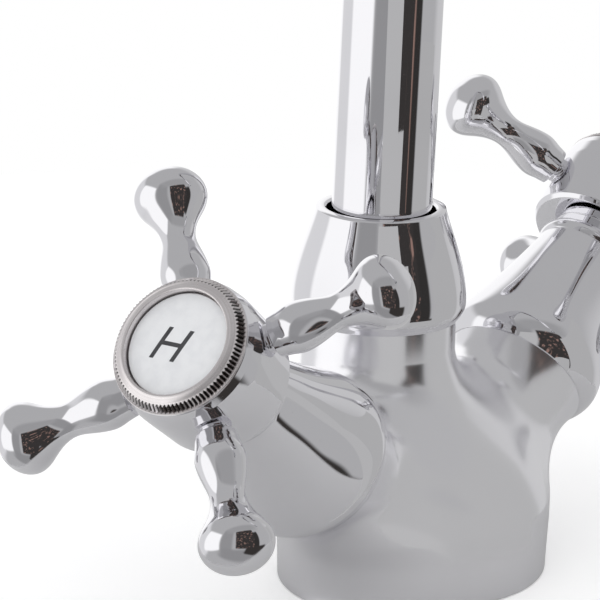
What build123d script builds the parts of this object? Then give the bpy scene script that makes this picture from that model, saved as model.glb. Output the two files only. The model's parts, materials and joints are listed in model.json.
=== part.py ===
from build123d import *
import math
import os

# A two handle kitchen faucet of the single-hole kind, in millimetres.
# +Z is up, -Y is the front (the spout reaches that way) and the hot side is -X.
# The origin is the centre of the base's underside, where it stands on the sink deck.

os.makedirs("parts", exist_ok=True)

# ---------------------------------------------------------------- clearances
running_gap = 0.1        # between a turning piece and the bore it turns in
face_gap = 0.05          # between two flat faces that slide on each other
thread_gap = 0.1         # between a threaded piece and its threaded bore
spline_gap = 0.08        # between the hub's splines and the spindle's

# ---------------------------------------------------------------- base and body
base_r = 26.7            # radius of the foot
wall_draft = 0.65        # the foot's wall draws in this much to its top
wall_h = 13.5            # height of the foot's wall
wall_top_r = base_r - wall_draft
spout_y = 10.0           # the spout's axis stands this far behind the base's centre
neck_r = 15.65           # radius of the neck under the spout collar
neck_foot_z = 44.0       # height where the skirt becomes the neck
neck_top_z = 50.4        # shoulder on which the spout collar sits
skirt_steps = 7          # steps of the circles that the skirt is drawn through
neck_steps = 4           # more circles above it, the upper ones trimmed off again
foot_steps = 3           # and as many down the foot's wall as below its underside
skirt_rise = 1.25        # how slowly the skirt leaves the foot
skirt_run = 1.5          # how slowly it reaches the neck
blend_r = 12.0           # rounding between the arms and the body

arm_angle = 36.5         # each arm rises this much above level, degrees
arm_base_z = 3.0         # height at which the two arm axes cross
root_inside = 2.53       # the corner of an arm's inner end stands this far inside the foot's edge
root_up = 0.6            # and this high
arm_waist_s = 37.0       # where an arm is thinnest
arm_waist_r = 13.45      # and its radius there
arm_face_s = 46.8        # the face at an arm's end
arm_face_r = 15.1        # and its radius
arm_root_slope = -0.22   # how fast the radius changes at the inner end
arm_face_slope = 0.35    # and at the face

# ---------------------------------------------------------------- waterways
inlet_r = 4.5            # threaded inlet, M10 x 1
inlet_depth = 12.0
inlet_s = 14.0           # an inlet stands under this point of its arm's axis
passage_r = 3.5          # from an inlet to the valve seat
valve_bore_r = 10.0      # threaded bore for a valve
seat_s = 30.0            # the seat at the bottom of that bore
gallery_r = 11.2         # ring-shaped channel round a valve's outlets
gallery_low_s = 33.0
gallery_high_s = 38.0
port_r = 3.0             # from the gallery to the mixing chamber
port_s = 35.5
chamber_r = 7.5          # mixing chamber under the spout
chamber_floor_z = 23.0
stud_hole_r = 4.2        # threaded hole for the fixing stud, M10
stud_hole_depth = 12.0
stud_hole_y = -14.0

# ---------------------------------------------------------------- base seal
seal_edge = 1.9          # the seal stays this far inside the foot's edge
seal_w = 2.2
seal_outer_r = base_r - seal_edge
seal_inner_r = seal_outer_r - seal_w
seal_h = 2.0

# ---------------------------------------------------------------- spout collar and swivel
collar_top_z = 72.8
collar_top_r = 12.9
collar_mouth_r = 11.6    # opening round the tube
collar_low_z = 50.4
collar_shoulder = (14.95, 66.4)      # points of the collar's side, as radius and height
collar_belly = (17.25, 57.7)
collar_widest = (17.55, 54.6)
collar_hem = (17.2, 52.2)
collar_foot_step = 0.35  # the collar's foot stands out this far from the neck
collar_edge = 0.4        # bevel of the mouth's edge
collar_thread_r = 13.6   # thread on the neck that holds the collar
collar_thread_top_z = 58.0
bearing_h = 1.2          # nylon ring under the spout's flange
swivel_bore_r = 10.0
swivel_bore_floor_z = 36.0
spigot_foot_z = 38.0
spigot_flange_r = 12.6
spigot_flange_h = 2.0
spigot_bore_r = 7.4
ledge_h = 1.8            # inner ledge of the collar that keeps the spout down
oring_wire_r = 0.76      # section of the spout's O-rings
oring_heights = (43.0, 49.0)
groove_gap = 0.1         # above and below an O-ring in its groove
bore_gap = 0.04          # round an O-ring in its bore
bearing_edge = 0.3       # the nylon ring stays this far inside its neighbours' edges

# ---------------------------------------------------------------- spout tube and outlet
tube_r = 10.0
tube_wall = 1.0
sleeve_gap = 0.05        # between the spigot's sleeve and the tube, brazed
upright_h = 4.0          # tube stands straight this far above the flange
rake_angle = 1.3         # then leans this much towards the outlet, degrees
rake_r = 120.0
crown_z = 288.0          # top of the tube
swan_r = 84.0            # bend of the tube's centre line
outlet_drop = 10.0       # straight end after the bend
ferrule_r = 12.0
ferrule_h = 15.0
ferrule_overlap = 8.0
aerator_r = 10.6
aerator_lip_r = 11.6
aerator_lip_h = 2.2
aerator_wall = 1.2
insert_h = 4.5
insert_gap = 0.1
insert_slot_count = 6
insert_slot_w = 1.6
ferrule_edge = 0.6
washer_h = 1.5
washer_gap = 0.2
washer_w = 2.8

# ---------------------------------------------------------------- valves, along the arm axis
valve_r = 9.9
valve_low_s = 30.6
hex_across = 22.0
hex_h = 5.0
barrel_r = 8.6
barrel_top_s = 63.0
valve_neck_r = 6.2
valve_neck_top_s = 79.0
disc_bore_r = 8.2
disc_bore_top_s = 42.0
window_count = 2
window_w = 6.0
window_low_s = 33.5
window_high_s = 37.5
stem_r = 4.1
stem_top_s = 82.2        # the splines begin here
stem_oring_s = 58.0
stem_oring_wire_r = 0.58
stem_groove_r = 3.0
stem_groove_h = 1.4
stem_bore_gap = 0.02     # round the stem's O-ring in the valve
washer_outer_r = 7.9
washer_inner_r = 4.5
washer_top_s = 32.4
ceramic_r = 8.0
ceramic_h = 3.0
ceramic_port_r = 2.4
ceramic_port_out = 4.3
drive_h = 2.4
drive_r = 7.3
circlip_h = 0.8
circlip_r = 5.6
circlip_groove_r = 3.5
circlip_slot_w = 1.6

# ---------------------------------------------------------------- handle, along the arm axis
shroud_lip_r = 16.9
shroud_lip_s = 51.0
shroud_wall = 1.7
shroud_foot_r = 15.2
shroud_cove = (16.3, 48.8)           # points of the shroud's side, as radius and distance
shroud_side = ((16.4, 55.0), (14.6, 61.0), (12.7, 67.5), (11.1, 74.0))
shroud_neck_r = 9.9
shroud_neck_s = 79.4
bead_step = 0.2
shroud_roof_h = 2.0      # thickness of its top round the valve's neck
bead_r = 10.3
bead_h = 2.8
shroud_mouth_r = 6.9
hub_back_s = 85.2
hub_back_r = 13.9
hub_widest_r = 14.3
hub_widest_s = 98.5
hub_shoulder_r = 14.05   # edge where the hub's front cone begins
hub_shoulder_s = 101.0
hub_front_r = 13.6
hub_front_s = 102.8
hub_bevel = 0.8
hub_recess_r = 8.8
hub_recess_depth = 5.3
boss_r = 5.8
boss_reach = 2.2         # the boss stands out this far behind the hub
spindle_top_s = 93.0
spline_teeth = 20
spline_tip_r = 4.0
spline_root_r = 3.6
web_low_s = 93.4
web_high_s = 96.0
screw_hole_r = 2.2
screw_pocket_r = 8.6
cap_bore_r = 11.0        # threaded bore for the cap ring
cap_bore_s = 98.8        # and its floor
screw_head_r = 3.6
screw_head_h = 2.6
screw_shank_r = 2.0
screw_low_s = 84.0
screw_slot_w = 1.0
screw_slot_depth = 1.2

cap_back_s = 102.9       # the cap ring's flange sits just clear of the hub
cap_flange_h = 0.3
cap_flange_r = 13.6
cap_sleeve_s = 99.0      # inner end of its threaded sleeve
cap_sleeve_bore_r = 8.8
knurl_low_r = 13.45      # the knurl lies on a cone
knurl_high_r = 12.6
knurl_depth = 0.4
knurl_top_s = 104.7
knurl_teeth = 84
cap_face_s = 105.3
cap_mouth_r = 10.4
cap_mouth_edge = 0.25
disc_r = 10.2
disc_low_s = 102.5       # the shelf that the index disc lies on
disc_edge_s = 104.4
disc_crown_s = 104.9

spoke_count = 4
spoke_s = 93.9           # height of the spokes' plane
spoke_seat_t = 13.7      # measured out from the handle's axis
spoke_thread_r = 2.5
spoke_thread_low_t = 9.6
spoke_neck_r = 3.0
spoke_neck_t = 15.0
spoke_step_r = 0.6       # the collar starts with this step up from the neck
spoke_step_t = 0.3
spoke_collar = ((4.5, 18.8), (4.7, 20.2), (4.45, 21.6))      # points as radius and distance
spoke_trumpet = ((3.9, 24.3), (3.3, 27.4), (3.75, 30.6), (5.3, 34.3), (7.05, 38.4))
spoke_rim = (7.35, 39.9)
spoke_hole_gap = 0.3     # round the neck where it enters the hub
spoke_dome_r = 6.3       # the end's shallow dome begins at this radius
spoke_dome_t = 41.1
spoke_end_t = 43.0
hot_spoke_turn = 34.0    # degrees from straight up, at rest
cold_spoke_turn = 47.8


# ---------------------------------------------------------------- helpers
def turned(*curves):
    """Turn a closed outline, drawn as (radius, height), about the Z axis."""
    outline = Curve() + list(curves)
    return revolve(Plane.XZ * make_face(outline.edges()), axis=Axis.Z)


def rod(radius, low, high):
    """A round bar on the Z axis from one height to another."""
    return Pos(0, 0, low) * Cylinder(radius, high - low, align=(Align.CENTER, Align.CENTER, Align.MIN))


def tube(outer, inner, low, high):
    """A plain ring on the Z axis."""
    return rod(outer, low, high) - rod(inner, low - 1, high + 1)


def oring(ring_r, wire_r, height):
    """An O-ring lying round the Z axis."""
    return Pos(0, 0, height) * Torus(ring_r, wire_r)


def toothed_face(root, tip, teeth):
    """A level face bounded by a ring of V-shaped teeth."""
    step = math.pi / teeth
    corners = []
    for i in range(2 * teeth):
        radius = tip if i % 2 == 0 else root
        corners.append((radius * math.cos(i * step), radius * math.sin(i * step)))
    return make_face(Polyline(*corners, close=True).edges())


def toothed(root, tip, teeth, low, high):
    """A bar on Z whose section is a ring of V-shaped teeth."""
    return Pos(0, 0, low) * extrude(toothed_face(root, tip, teeth), high - low)


def dome_to_axis(radius, edge, crown):
    """The arc of a shallow dome, from its edge at a radius up to its crown on the axis."""
    ball_r = (radius ** 2 + (crown - edge) ** 2) / (2 * (crown - edge))
    middle = crown - ball_r + math.sqrt(ball_r ** 2 - radius ** 2 / 4)
    return ThreePointArc((radius, edge), (radius / 2, middle), (0, crown))


def arm_plane(side):
    """Frame of one arm: Z runs out along its axis. side is -1 for hot and 1 for cold."""
    lift = math.radians(arm_angle)
    outward = (side * math.cos(lift), 0, math.sin(lift))
    upward = (-side * math.sin(lift), 0, math.cos(lift))
    return Plane(origin=(0, 0, arm_base_z), x_dir=upward, z_dir=outward)


def on_arm(side, piece):
    """Put a piece that was made about Z on an arm's axis."""
    return arm_plane(side).location * piece


def arm_point(side, along):
    """A point of an arm's axis."""
    lift = math.radians(arm_angle)
    return Vector(side * along * math.cos(lift), 0, arm_base_z + along * math.sin(lift))


def drilled(start, end, radius):
    """A round bar between two points, for cutting."""
    way = end - start
    plane = Plane(origin=start, z_dir=way)
    return plane.location * rod(radius, 0, way.length)


def save(name, piece):
    """Write one piece."""
    export_step(piece, "parts/" + name + ".step")


# ---------------------------------------------------------------- body
def skirt_share(height):
    """How far the skirt has drawn in from the foot to the neck, from 0 to 1."""
    t = (height - wall_h) / (neck_foot_z - wall_h)
    return 1 - (1 - t ** skirt_rise) ** skirt_run


def level_circle(radius, height, back=0.0):
    """A level circle whose seam is at the rear."""
    return Pos(0, back, height) * Rot(0, 0, 90) * Circle(radius)


def skirt_circle(height):
    """Section of the skirt at a height: it draws in and moves back at once."""
    share = skirt_share(height)
    return level_circle(wall_top_r + (neck_r - wall_top_r) * share, height, spout_y * share)


def skirt():
    """Foot, skirt and neck, drawn through level circles and cut off level at both ends."""
    sections = []
    for i in range(-foot_steps, foot_steps):
        height = wall_h * i / foot_steps
        sections.append(level_circle(base_r + (wall_top_r - base_r) * height / wall_h, height))
    for i in range(skirt_steps):
        sections.append(skirt_circle(wall_h + (neck_foot_z - wall_h) * i / skirt_steps))
    for i in range(neck_steps + 1):
        height = neck_foot_z + (neck_top_z - neck_foot_z) * i / 2
        sections.append(level_circle(neck_r, height, spout_y))
    return loft(sections) & rod(2 * base_r, 0, neck_top_z)


def arm():
    """One arm of the casting: flared root inside the foot's edge, waist and a wider face."""
    lift = math.radians(arm_angle)
    corner_x, corner_z = base_r - root_inside, root_up - arm_base_z
    root = (corner_x * math.sin(lift) - corner_z * math.cos(lift),
            corner_x * math.cos(lift) + corner_z * math.sin(lift))
    side_curve = Spline(root, (arm_waist_r, arm_waist_s), (arm_face_r, arm_face_s),
                        tangents=[(arm_root_slope, 1), (arm_face_slope, 1)])
    ends = Polyline((arm_face_r, arm_face_s), (0, arm_face_s), (0, root[1]), root)
    return turned(side_curve, ends)


def outer_body():
    """The casting's outside: skirt and both arms, joined and then blended."""
    pieces = [skirt(), on_arm(-1, arm()), on_arm(1, arm())]
    body = pieces[0] + pieces[1] + pieces[2]
    return fillet(new_edges(*pieces, combined=body), blend_r)


def waterway(side):
    """Everything cut inside one arm: valve bore, gallery, inlet and the ways between them."""
    inlet_x = arm_point(side, inlet_s).X
    cut = on_arm(side, rod(valve_bore_r, seat_s, arm_face_s + 1))
    cut += on_arm(side, rod(gallery_r, gallery_low_s, gallery_high_s))
    cut += on_arm(side, rod(passage_r, inlet_s, seat_s + 1))
    cut += Pos(inlet_x, 0, 0) * rod(inlet_r, -1, inlet_depth)
    chamber = Vector(0, spout_y - chamber_r / 3, chamber_floor_z + port_r + 1)
    cut += drilled(chamber, arm_point(side, port_s), port_r)
    return cut


def body_casting():
    """The chromed brass casting with its bores, neck thread and seal groove."""
    spigot_top = collar_thread_top_z
    body = outer_body() + Pos(0, spout_y, 0) * rod(collar_thread_r, neck_top_z - 1, spigot_top)
    body -= Pos(0, spout_y, 0) * rod(swivel_bore_r, swivel_bore_floor_z, spigot_top + 1)
    body -= Pos(0, spout_y, 0) * rod(chamber_r, chamber_floor_z, swivel_bore_floor_z + 1)
    for side in (-1, 1):
        body -= waterway(side)
    body -= Pos(0, stud_hole_y, 0) * rod(stud_hole_r, -1, stud_hole_depth)
    body -= tube(seal_outer_r + thread_gap, seal_inner_r - thread_gap, 0, seal_h) & rod(base_r, 0, seal_h)
    return body


def base_seal():
    """The flat rubber ring in the foot's groove."""
    return tube(seal_outer_r, seal_inner_r, 0, seal_h)


# ---------------------------------------------------------------- spout collar and swivel
bearing_top_z = collar_thread_top_z + bearing_h
flange_low_z = bearing_top_z + face_gap
flange_top_z = flange_low_z + spigot_flange_h
ledge_low_z = flange_top_z + face_gap


def on_spout(piece):
    """Put a piece that was made about Z on the spout's axis."""
    return Pos(0, spout_y, 0) * piece


def spout_collar():
    """The bell-shaped nut that keeps the spout in the neck."""
    foot_r = neck_r + collar_foot_step
    thread_r = collar_thread_r + thread_gap
    side = Spline((collar_top_r, collar_top_z), collar_shoulder, collar_belly, collar_widest, collar_hem,
                  (foot_r, collar_low_z), tangents=[(0.27, -1), (-0.6, -1)])
    ledge_r = (tube_r + collar_mouth_r) / 2
    inside = Polyline((foot_r, collar_low_z), (thread_r, collar_low_z), (thread_r, ledge_low_z),
                      (ledge_r, ledge_low_z), (ledge_r, ledge_low_z + ledge_h),
                      (collar_mouth_r, ledge_low_z + ledge_h), (collar_mouth_r, collar_top_z - collar_edge),
                      (collar_mouth_r + collar_edge, collar_top_z), (collar_top_r, collar_top_z))
    return on_spout(turned(side, inside))


def spout_bearing():
    """The nylon ring that the spout turns on."""
    return on_spout(tube(collar_thread_r - bearing_edge, swivel_bore_r + bearing_edge,
                         collar_thread_top_z, bearing_top_z))


def spout_spigot():
    """The brass end of the spout: barrel with two O-ring grooves, flange and tube sleeve."""
    barrel_r = swivel_bore_r - running_gap
    sleeve_r = tube_r - tube_wall - sleeve_gap
    spigot = rod(barrel_r, spigot_foot_z, flange_low_z + 1)
    spigot += rod(spigot_flange_r, flange_low_z, flange_top_z)
    spigot += rod(sleeve_r, flange_low_z, flange_top_z + upright_h)
    spigot -= rod(spigot_bore_r, spigot_foot_z - 1, flange_top_z + upright_h + 1)
    for height in oring_heights:
        half = oring_wire_r + groove_gap
        spigot -= Pos(0, 0, height) * tube(barrel_r + 1, barrel_r - 2 * oring_wire_r, -half, half)
    return on_spout(spigot)


def spout_oring(height):
    """One of the O-rings in the spigot's grooves."""
    return on_spout(oring(swivel_bore_r - bore_gap - oring_wire_r, oring_wire_r, height))


def spout_line():
    """The tube's centre line, drawn in a plane where x is the reach and y the height."""
    rake = math.radians(rake_angle)
    up = Line((0, flange_top_z), (0, flange_top_z + upright_h))
    lean = JernArc(up @ 1, up % 1, rake_r, -rake_angle)
    centre_z = crown_z - tube_r - swan_r
    bend_start_z = centre_z + swan_r * math.sin(rake)
    run = (bend_start_z - (lean @ 1).Y) / math.cos(rake)
    straight = Line(lean @ 1, lean @ 1 + (lean % 1) * run)
    swan = JernArc(straight @ 1, straight % 1, swan_r, -(180 - rake_angle))
    drop = Line(swan @ 1, swan @ 1 + (swan % 1) * outlet_drop)
    return [up, lean, straight, swan, drop]


reach_plane = Plane(origin=(0, spout_y, 0), x_dir=(0, -1, 0), z_dir=(-1, 0, 0))
spout_runs = spout_line()
outlet_end = spout_runs[-1] @ 1
outlet_y = spout_y - outlet_end.X
outlet_z = outlet_end.Y


def spout_tube():
    """The swan-neck tube."""
    path = reach_plane * (Curve() + spout_runs)
    start = Plane(origin=(0, spout_y, flange_top_z), z_dir=(0, 0, 1))
    return sweep(start * Circle(tube_r), path) - sweep(start * Circle(tube_r - tube_wall), path)


def at_outlet(piece):
    """Put a piece on the outlet's axis; its Z is measured from the tube's end."""
    return Pos(0, outlet_y, outlet_z) * piece


def outlet_ferrule():
    """The socket brazed over the tube's end, threaded inside for the aerator."""
    low = ferrule_overlap - ferrule_h
    ring = rod(ferrule_r, low, ferrule_overlap)
    ring = chamfer(ring.edges().filter_by(GeomType.CIRCLE), ferrule_edge)
    ring -= rod(tube_r + sleeve_gap, 0, ferrule_overlap + 1)
    ring -= rod(tube_r - tube_wall, -1, 1)
    ring -= rod(aerator_r + thread_gap, low - 1, -washer_h)
    return at_outlet(ring)


def outlet_washer():
    """The rubber ring above the aerator."""
    outer = aerator_r - washer_gap
    return at_outlet(tube(outer, outer - washer_w, -2 * washer_h, -washer_h))


ferrule_low = ferrule_overlap - ferrule_h
aerator_top = -2 * washer_h
housing_low = ferrule_low - aerator_lip_h


def aerator_housing():
    """The threaded chrome shell round the aerator."""
    housing = rod(aerator_r, ferrule_low, aerator_top) + rod(aerator_lip_r, housing_low, ferrule_low)
    housing -= rod(aerator_r - aerator_wall, housing_low + 1, aerator_top + 1)
    housing -= rod(aerator_r - 2 * aerator_wall, housing_low - 1, housing_low + 2)
    return at_outlet(housing)


def aerator_insert():
    """The slotted plastic flow straightener inside the aerator."""
    low = housing_low + 1
    insert_r = aerator_r - aerator_wall - insert_gap
    insert = rod(insert_r, low, low + insert_h)
    for i in range(insert_slot_count):
        slot = Rot(0, 0, 360 / insert_slot_count * i) * Pos(insert_r * 0.55, 0, low - 1) * Box(
            insert_r * 0.6, insert_slot_w, insert_h + 2, align=(Align.CENTER, Align.CENTER, Align.MIN))
        insert -= slot
    return at_outlet(insert)


# ---------------------------------------------------------------- valves
def valve_body():
    """The brass headwork: thread, hexagon, barrel and neck, hollow for its discs and spindle."""
    hexagon = Pos(0, 0, arm_face_s) * extrude(RegularPolygon(hex_across / 2, 6, major_radius=False), hex_h)
    valve = rod(valve_r, valve_low_s, arm_face_s + 1) + hexagon
    valve += rod(barrel_r, arm_face_s, barrel_top_s) + rod(valve_neck_r, barrel_top_s - 1, valve_neck_top_s)
    valve -= rod(disc_bore_r, valve_low_s - 1, disc_bore_top_s)
    valve -= rod(stem_r + running_gap, valve_low_s, valve_neck_top_s + 1)
    for i in range(window_count):
        window = Rot(0, 0, 90 + 180 * i) * Pos(valve_r, 0, (window_low_s + window_high_s) / 2) * Box(
            valve_r, window_w, window_high_s - window_low_s)
        valve -= window
    return valve


def valve_washer():
    """The rubber washer under the fixed disc."""
    return tube(washer_outer_r, washer_inner_r, seat_s, washer_top_s)


def ceramic_disc(low):
    """A ceramic disc with two through ports."""
    disc = rod(ceramic_r, low, low + ceramic_h)
    for i in range(2):
        port = Pos(ceramic_port_out, 0, 0) * rod(ceramic_port_r, low - 1, low + ceramic_h + 1)
        disc -= Rot(0, 0, 180 * i) * port
    return disc


moving_disc_s = washer_top_s + ceramic_h + face_gap
drive_s = moving_disc_s + ceramic_h


def spindle():
    """The spindle: driving flange, stem with O-ring and circlip grooves, splined end."""
    circlip_s = valve_neck_top_s + face_gap
    stem = rod(drive_r, drive_s, drive_s + drive_h) + rod(stem_r, drive_s, stem_top_s)
    stem += toothed(spline_root_r, spline_tip_r, spline_teeth, stem_top_s - 0.5, spindle_top_s)
    stem -= Pos(0, 0, stem_oring_s) * tube(stem_r + 1, stem_groove_r, -stem_groove_h / 2, stem_groove_h / 2)
    stem -= tube(stem_r + 1, circlip_groove_r, circlip_s, circlip_s + circlip_h)
    stem -= rod(screw_shank_r + thread_gap, screw_low_s - 1, spindle_top_s + 1)
    return stem


def stem_oring():
    """The O-ring in the spindle's groove."""
    return oring(stem_r + running_gap - stem_bore_gap - stem_oring_wire_r, stem_oring_wire_r, stem_oring_s)


def circlip():
    """The open spring ring that keeps the spindle in the valve."""
    low = valve_neck_top_s + face_gap
    ring = tube(circlip_r, circlip_groove_r, low, low + circlip_h)
    opening = Pos(circlip_r, 0, low + circlip_h / 2) * Box(2 * circlip_r, circlip_slot_w, 2 * circlip_h)
    return ring - opening


# ---------------------------------------------------------------- shroud and handle
def valve_shroud():
    """The bell over a valve: rolled lip at the foot, drawn-in sides and a bead at the top."""
    side = Spline((shroud_foot_r, arm_face_s), shroud_cove, (shroud_lip_r, shroud_lip_s), *shroud_side,
                  (shroud_neck_r, shroud_neck_s), tangents=[(0.6, 1), (-0.2, 1)])
    bead_low = shroud_neck_s + bead_step
    top = bead_low + bead_h
    bead = [Line((shroud_neck_r, shroud_neck_s), (shroud_neck_r, bead_low)),
            ThreePointArc((shroud_neck_r, bead_low), (bead_r, bead_low + bead_h / 2), (shroud_neck_r, top))]
    thin = shroud_wall
    roof = top - shroud_roof_h
    wall = [(radius - thin, along) for radius, along in reversed(shroud_side[1:])]
    inside = Polyline((shroud_neck_r, top), (shroud_mouth_r, top), (shroud_mouth_r, roof),
                      (shroud_neck_r - thin, roof), *wall, (shroud_foot_r - thin, shroud_side[0][1]),
                      (shroud_foot_r - thin, arm_face_s), (shroud_foot_r, arm_face_s))
    return turned(side, *bead, inside)


def spoke_at(turn, piece):
    """Put a piece that was made about Z on a spoke's axis, in the spokes' plane."""
    return Pos(0, 0, spoke_s) * Rot(0, 0, turn) * Rot(0, 90, 0) * piece


def handle_hub(turn):
    """The turned hub: tapered barrel, recessed back, splined boss and four spoke holes."""
    outline = Polyline((boss_r, hub_back_s - boss_reach), (boss_r, hub_back_s + hub_recess_depth),
                       (hub_recess_r, hub_back_s + hub_recess_depth), (hub_recess_r, hub_back_s),
                       (hub_back_r - hub_bevel, hub_back_s), (hub_back_r, hub_back_s + hub_bevel),
                       (hub_widest_r, hub_widest_s), (hub_shoulder_r, hub_shoulder_s),
                       (hub_front_r, hub_front_s), (cap_bore_r, hub_front_s), (cap_bore_r, cap_bore_s),
                       (screw_pocket_r, cap_bore_s), (screw_pocket_r, web_high_s), (0, web_high_s),
                       (0, hub_back_s - boss_reach), close=True)
    hub = turned(outline)
    hub -= toothed(spline_root_r + spline_gap, spline_tip_r + spline_gap, spline_teeth,
                   hub_back_s - boss_reach - 1, web_low_s)
    hub -= rod(screw_hole_r, web_low_s - 1, web_high_s + 1)
    for i in range(spoke_count):
        hole = rod(spoke_thread_r + thread_gap, spoke_thread_low_t - spoke_hole_gap, hub_widest_r + 1)
        hole += rod(spoke_neck_r + spoke_hole_gap, spoke_seat_t, hub_widest_r + 1)
        hub -= spoke_at(turn + 360 / spoke_count * i, hole)
    return hub


def spoke():
    """One turned spoke: threaded root, neck, collar, waist, trumpet and domed end."""
    root = Polyline((0, spoke_thread_low_t), (spoke_thread_r, spoke_thread_low_t),
                    (spoke_thread_r, spoke_seat_t), (spoke_neck_r, spoke_seat_t),
                    (spoke_neck_r, spoke_neck_t), (spoke_neck_r + spoke_step_r, spoke_neck_t + spoke_step_t),
                    spoke_collar[0])
    collar = ThreePointArc(*spoke_collar)
    trumpet = Spline(spoke_collar[-1], *spoke_trumpet, tangents=[(-0.2, 1), (0.42, 1)])
    rim = ThreePointArc(spoke_trumpet[-1], spoke_rim, (spoke_dome_r, spoke_dome_t))
    dome = dome_to_axis(spoke_dome_r, spoke_dome_t, spoke_end_t)
    axis = Line((0, spoke_end_t), (0, spoke_thread_low_t))
    return turned(root, collar, trumpet, rim, dome, axis)


def handle_screw():
    """The slotted screw that holds the hub on the spindle."""
    head_top = web_high_s + screw_head_h
    screw = rod(screw_shank_r, screw_low_s, web_high_s + 1) + rod(screw_head_r, web_high_s, head_top)
    slot = Pos(0, 0, head_top) * Box(2 * screw_head_r + 1, screw_slot_w, 2 * screw_slot_depth)
    return screw - slot


def cap_ring():
    """The knurled ring: threaded sleeve, flange, teeth on a cone, and the mouth round the disc."""
    flange_top = cap_back_s + cap_flange_h
    low_root = knurl_low_r - knurl_depth
    high_root = knurl_high_r - knurl_depth
    outline = Polyline((cap_sleeve_bore_r, cap_sleeve_s), (cap_bore_r - thread_gap, cap_sleeve_s),
                       (cap_bore_r - thread_gap, cap_back_s), (cap_flange_r, cap_back_s),
                       (cap_flange_r, flange_top), (low_root, flange_top), (high_root, knurl_top_s),
                       (cap_mouth_r + cap_mouth_edge, cap_face_s),
                       (cap_mouth_r, cap_face_s - cap_mouth_edge), (cap_mouth_r, disc_low_s),
                       (cap_sleeve_bore_r, disc_low_s), close=True)
    low_face = Pos(0, 0, flange_top) * toothed_face(low_root, knurl_low_r, knurl_teeth)
    high_face = Pos(0, 0, knurl_top_s) * toothed_face(high_root, knurl_high_r, knurl_teeth)
    teeth = loft([low_face, high_face], ruled=True)
    return turned(outline) + (teeth - rod(cap_bore_r, flange_top - 1, knurl_top_s + 1))


def index_disc():
    """The domed porcelain disc, bare."""
    rim = Line((disc_r, disc_low_s), (disc_r, disc_edge_s))
    dome = dome_to_axis(disc_r, disc_edge_s, disc_crown_s)
    under = Polyline((0, disc_crown_s), (0, disc_low_s), (disc_r, disc_low_s))
    return turned(rim, dome, under)


# ---------------------------------------------------------------- the whole faucet
save("body_casting", body_casting())
save("base_seal", base_seal())
save("spout_collar", spout_collar())
save("spout_bearing", spout_bearing())
save("spout_spigot", spout_spigot())
save("spout_oring_lower", spout_oring(oring_heights[0]))
save("spout_oring_upper", spout_oring(oring_heights[1]))
save("spout_tube", spout_tube())
save("outlet_ferrule", outlet_ferrule())
save("outlet_washer", outlet_washer())
save("aerator_housing", aerator_housing())
save("aerator_insert", aerator_insert())

for name, side, turn in (("hot", -1, hot_spoke_turn), ("cold", 1, cold_spoke_turn)):
    save(name + "_valve_body", on_arm(side, valve_body()))
    save(name + "_valve_washer", on_arm(side, valve_washer()))
    save(name + "_fixed_disc", on_arm(side, ceramic_disc(washer_top_s)))
    save(name + "_moving_disc", on_arm(side, ceramic_disc(moving_disc_s)))
    save(name + "_spindle", on_arm(side, spindle()))
    save(name + "_stem_oring", on_arm(side, stem_oring()))
    save(name + "_circlip", on_arm(side, circlip()))
    save(name + "_valve_shroud", on_arm(side, valve_shroud()))
    save(name + "_handle_hub", on_arm(side, handle_hub(turn)))
    save(name + "_handle_screw", on_arm(side, handle_screw()))
    save(name + "_cap_ring", on_arm(side, cap_ring()))
    save(name + "_index_disc", on_arm(side, index_disc()))
    for i in range(spoke_count):
        angle = turn + 360 / spoke_count * i
        save(name + "_spoke_" + str(i + 1), on_arm(side, spoke_at(angle, spoke())))
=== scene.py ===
"""Looks of a two handle kitchen faucet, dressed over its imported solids.

Sizes are in millimetres, as on the faucet's drawing, and become metres when a mesh is made.
"""

import sys
import json
import logging
import math
from collections.abc import Callable, Sequence
from dataclasses import dataclass, field
from enum import Enum

import bmesh
import bpy
import numpy as np
from mathutils import Matrix, Vector


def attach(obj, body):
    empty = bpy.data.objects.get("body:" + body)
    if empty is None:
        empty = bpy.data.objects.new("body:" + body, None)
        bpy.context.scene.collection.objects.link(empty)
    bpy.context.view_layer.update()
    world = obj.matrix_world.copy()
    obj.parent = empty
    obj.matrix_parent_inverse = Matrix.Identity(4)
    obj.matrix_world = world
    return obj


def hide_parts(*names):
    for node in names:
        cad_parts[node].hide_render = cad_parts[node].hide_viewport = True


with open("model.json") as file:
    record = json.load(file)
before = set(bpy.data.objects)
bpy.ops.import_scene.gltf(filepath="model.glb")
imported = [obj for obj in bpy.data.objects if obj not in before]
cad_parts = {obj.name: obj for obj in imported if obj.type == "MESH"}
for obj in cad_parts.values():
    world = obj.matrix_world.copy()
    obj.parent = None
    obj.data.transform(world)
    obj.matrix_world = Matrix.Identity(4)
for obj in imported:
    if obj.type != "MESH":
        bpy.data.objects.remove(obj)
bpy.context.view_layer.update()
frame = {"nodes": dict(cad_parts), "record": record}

MM = 0.001
log = logging.getLogger("faucet")

Socket, Material, Mesh = bpy.types.NodeSocket, bpy.types.Material, bpy.types.Mesh
Point = tuple[float, float]
Triple = tuple[float, float, float]


class Side(Enum):
    """The two arms."""

    HOT = ("hot", -1, 34.0)
    COLD = ("cold", 1, 47.8)

    def __init__(self, prefix: str, direction: int, turn: float) -> None:
        """Keep a side's values.

        Args:
            prefix: First word of its node names.
            direction: Which way along X its arm reaches.
            turn: Angle of its first spoke from straight up at rest, in degrees.
        """
        self.prefix, self.direction, self.turn = prefix, direction, turn
        self.handle_body = prefix + "_handle"

    def axes(self, rise: float) -> tuple[np.ndarray, np.ndarray]:
        """Directions out along the arm and up from it.

        Args:
            rise: The arm's angle above level, in degrees.

        Returns:
            Two unit directions.
        """
        lift = math.radians(rise)
        return (np.array((self.direction * math.cos(lift), 0, math.sin(lift))),
                np.array((-self.direction * math.sin(lift), 0, math.cos(lift))))


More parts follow.
